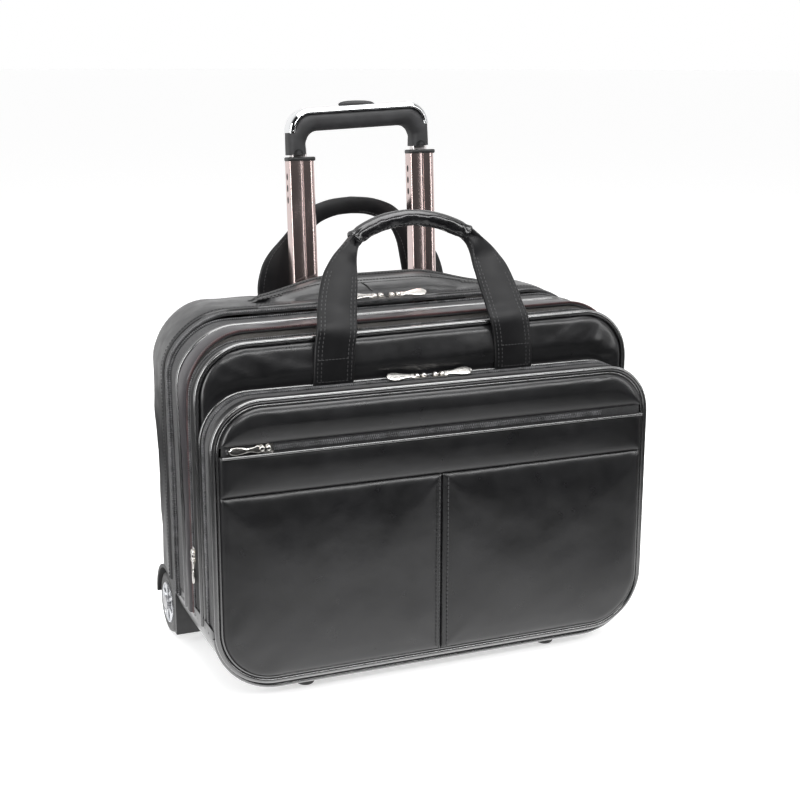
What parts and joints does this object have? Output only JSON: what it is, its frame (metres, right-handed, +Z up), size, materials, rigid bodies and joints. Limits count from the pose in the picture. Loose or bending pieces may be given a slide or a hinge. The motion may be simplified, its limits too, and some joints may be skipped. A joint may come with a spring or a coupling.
{
  "type": "rolling laptop case",
  "caption": "Soft-sided leather laptop case with zipped layers, a telescopic trolley with a release button, rear wheels, front feet and carry handles.",
  "frame": {"origin": "on the floor, under the middle of the whole object's box", "axes": "+X to the right across the case as seen from the front, +Y from the front pocket to the back panel, +Z up"},
  "size_m": [0.4291, 0.2331, 0.5139],
  "materials": {
    "leather_black": "smooth, soft semi-gloss",
    "leather_trim": "glossy piping",
    "zip_tape": "woven, matte",
    "lining": "woven nylon",
    "frame_plastic": "moulded, matte",
    "black_plastic": "fine grained",
    "steel": "plated",
    "tube_metal": "warm gunmetal, polished",
    "chrome": "mirror",
    "nickel": "bright nickel",
    "hub_silver": "silver",
    "tyre": "polyurethane, satin",
    "foot_rubber": "matte"
  },
  "bodies": {
    "case": {"frame_board": "frame_plastic", "bottom_panel": "leather_black", "rear_gusset": "leather_black", "back_panel": "leather_black", "handle_lip": "leather_black", "tube_bezel": "black_plastic", "outer_tubes": "steel", "tube_bracket": "frame_plastic", "wheel_housing_left": "black_plastic", "wheel_housing_right": "black_plastic", "wheel_axles": "steel", "front_feet": "foot_rubber", "foot_screws": "steel", "main_zip_tape_rear": "zip_tape", "laptop_sleeve": "lining"},
    "mid": {"mid_gusset": "leather_black", "mid_piping": "leather_trim", "main_zip_tape_front": "zip_tape", "mid_partition": "lining", "middle_zip_tape_rear": "zip_tape"},
    "front": {"front_gusset": "leather_black", "front_face": "leather_black", "front_piping": "leather_trim", "middle_zip_tape_front": "zip_tape", "pocket_zip_tape_rear": "zip_tape", "front_handle_ends": "leather_black"},
    "pocket_lid": {"pocket_piping": "leather_trim", "pocket_gusset": "leather_black", "pocket_zip_tape_front": "zip_tape", "face_upper": "leather_black", "face_band": "leather_black", "face_lower_left": "leather_black", "face_lower_right": "leather_black", "face_zip_tape": "zip_tape"},
    "middle_stage": {"middle_tubes": "tube_metal", "tube_collars": "black_plastic"},
    "inner_stage": {"inner_tubes": "tube_metal", "grip_core": "black_plastic", "grip_cover": "chrome"},
    "button": {"release_button": "black_plastic", "release_rods": "tube_metal"},
    "wheel_left": {"tyre_left": "tyre", "hub_left": "hub_silver"},
    "wheel_right": {"tyre_right": "tyre", "hub_right": "hub_silver"},
    "front_carry_handle": {"front_handle": "leather_black", "front_handle_wrap": "leather_black"},
    "rear_carry_handle": {"rear_handle": "leather_black"},
    "pocket_slider_left": {"pocket_slider_left": "nickel"},
    "pocket_pull_left": {"pocket_pull_left": "nickel"},
    "pocket_slider_right": {"pocket_slider_right": "nickel"},
    "pocket_pull_right": {"pocket_pull_right": "nickel"},
    "main_slider_left": {"main_slider_left": "nickel"},
    "main_pull_left": {"main_pull_left": "nickel"},
    "main_slider_right": {"main_slider_right": "nickel"},
    "main_pull_right": {"main_pull_right": "nickel"},
    "middle_slider": {"middle_slider": "nickel"},
    "middle_pull": {"middle_pull": "nickel"},
    "face_slider": {"face_slider": "nickel"},
    "face_pull": {"face_pull": "nickel"}
  },
  "joints": [
    {"name": "main_opening", "type": "hinge", "parent": "case", "child": "mid", "pos_m": [0, -0.1104, 0.019], "axis": [1, 0, 0], "range_deg": [0, 12]},
    {"name": "middle_opening", "type": "hinge", "parent": "mid", "child": "front", "pos_m": [0, -0.1104, 0.019], "axis": [1, 0, 0], "range_deg": [0, 15]},
    {"name": "pocket_opening", "type": "hinge", "parent": "front", "child": "pocket_lid", "pos_m": [0, -0.1104, 0.019], "axis": [1, 0, 0], "range_deg": [0, 25]},
    {"name": "trolley_lower_stage", "type": "slide", "parent": "case", "child": "middle_stage", "axis": [0, 0.0732, 0.9973], "range_m": [-0.17, 0.05]},
    {"name": "trolley_upper_stage", "type": "slide", "parent": "middle_stage", "child": "inner_stage", "axis": [0, 0.0732, 0.9973], "range_m": [0, 0.2]},
    {"name": "release_press", "type": "slide", "parent": "inner_stage", "child": "button", "axis": [0, 0.0732, 0.9973], "range_m": [-0.004, 0], "stiffness_N_per_m": 600, "springref_m": 0.004},
    {"name": "wheel_left_spin", "type": "hinge", "parent": "case", "child": "wheel_left", "pos_m": [-0.197, 0.0766, 0.031], "axis": [1, 0, 0], "continuous": true},
    {"name": "wheel_right_spin", "type": "hinge", "parent": "case", "child": "wheel_right", "pos_m": [0.197, 0.0766, 0.031], "axis": [1, 0, 0], "continuous": true},
    {"name": "front_handle_fold", "type": "hinge", "parent": "front", "child": "front_carry_handle", "pos_m": [0, -0.07385, 0.316], "axis": [1, 0, 0], "range_deg": [0, 95]},
    {"name": "rear_handle_fold", "type": "hinge", "parent": "case", "child": "rear_carry_handle", "pos_m": [0, 0.10813, 0.32891], "axis": [-1, 0, 0], "range_deg": [0, 170]},
    {"name": "pocket_zip_left", "type": "slide", "parent": "front", "child": "pocket_slider_left", "axis": [-1, 0, 0], "range_m": [0, 0.11]},
    {"name": "pocket_pull_left_flip", "type": "hinge", "parent": "pocket_slider_left", "child": "pocket_pull_left", "pos_m": [-0.01145, -0.0834, 0.27595], "axis": [0, 1, 0], "range_deg": [0, 100]},
    {"name": "main_zip_left", "type": "slide", "parent": "case", "child": "main_slider_left", "axis": [-1, 0, 0], "range_m": [0, 0.11]},
    {"name": "main_pull_left_flip", "type": "hinge", "parent": "main_slider_left", "child": "main_pull_left", "pos_m": [-0.01145, 0.0196, 0.33245], "axis": [0, 1, 0], "range_deg": [0, 100]},
    {"name": "pocket_zip_right", "type": "slide", "parent": "front", "child": "pocket_slider_right", "axis": [1, 0, 0], "range_m": [0, 0.11]},
    {"name": "pocket_pull_right_flip", "type": "hinge", "parent": "pocket_slider_right", "child": "pocket_pull_right", "pos_m": [0.01145, -0.0834, 0.27595], "axis": [0, -1, 0], "range_deg": [0, 100]},
    {"name": "main_zip_right", "type": "slide", "parent": "case", "child": "main_slider_right", "axis": [1, 0, 0], "range_m": [0, 0.11]},
    {"name": "main_pull_right_flip", "type": "hinge", "parent": "main_slider_right", "child": "main_pull_right", "pos_m": [0.01145, 0.0196, 0.33245], "axis": [0, -1, 0], "range_deg": [0, 100]},
    {"name": "middle_zip_run", "type": "slide", "parent": "mid", "child": "middle_slider", "axis": [0, 0, 1], "range_m": [0, 0.12]},
    {"name": "middle_pull_flip", "type": "hinge", "parent": "middle_slider", "child": "middle_pull", "pos_m": [-0.21295, -0.0464, 0.11855], "axis": [0, 1, 0], "range_deg": [0, 100]},
    {"name": "face_zip_run", "type": "slide", "parent": "pocket_lid", "child": "face_slider", "axis": [1, 0, 0], "range_m": [0, 0.3]},
    {"name": "face_pull_flip", "type": "hinge", "parent": "face_slider", "child": "face_pull", "pos_m": [-0.16745, -0.11505, 0.2328], "axis": [0, 0, 1], "range_deg": [0, 120]}
  ]
}
